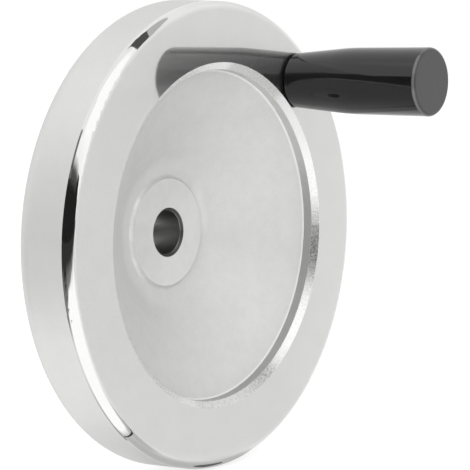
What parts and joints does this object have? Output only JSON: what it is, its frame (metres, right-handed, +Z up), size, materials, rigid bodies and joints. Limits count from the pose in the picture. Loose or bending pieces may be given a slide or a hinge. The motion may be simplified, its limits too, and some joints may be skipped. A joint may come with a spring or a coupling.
{
  "type": "handwheel",
  "caption": "Aluminium machine handwheel with a closed dished web, a polished deep rim, a plain through bore and a black grip that revolves on the rim.",
  "frame": {"origin": "on the bore's axis, half way along the hub", "axes": "+Y along the bore towards the shaft, -Y towards the operator, +Z up; the grip stands to the right, 50 degrees above the horizontal, seen from the front"},
  "size_m": [0.125, 0.0797, 0.125],
  "materials": {
    "wheel": "turned and polished",
    "spindle": "bright turned",
    "ring": "plain spring wire",
    "grip": "gloss"
  },
  "bodies": {
    "wheel": {"wheel": "wheel", "grip_spindle": "spindle", "snap_ring": "ring"},
    "grip": {"grip_sleeve": "grip"}
  },
  "joints": [
    {"name": "grip_spin", "type": "hinge", "parent": "wheel", "child": "grip", "pos_m": [0.03433, -0.0281, 0.04091], "axis": [0, -1, 0], "continuous": true}
  ]
}
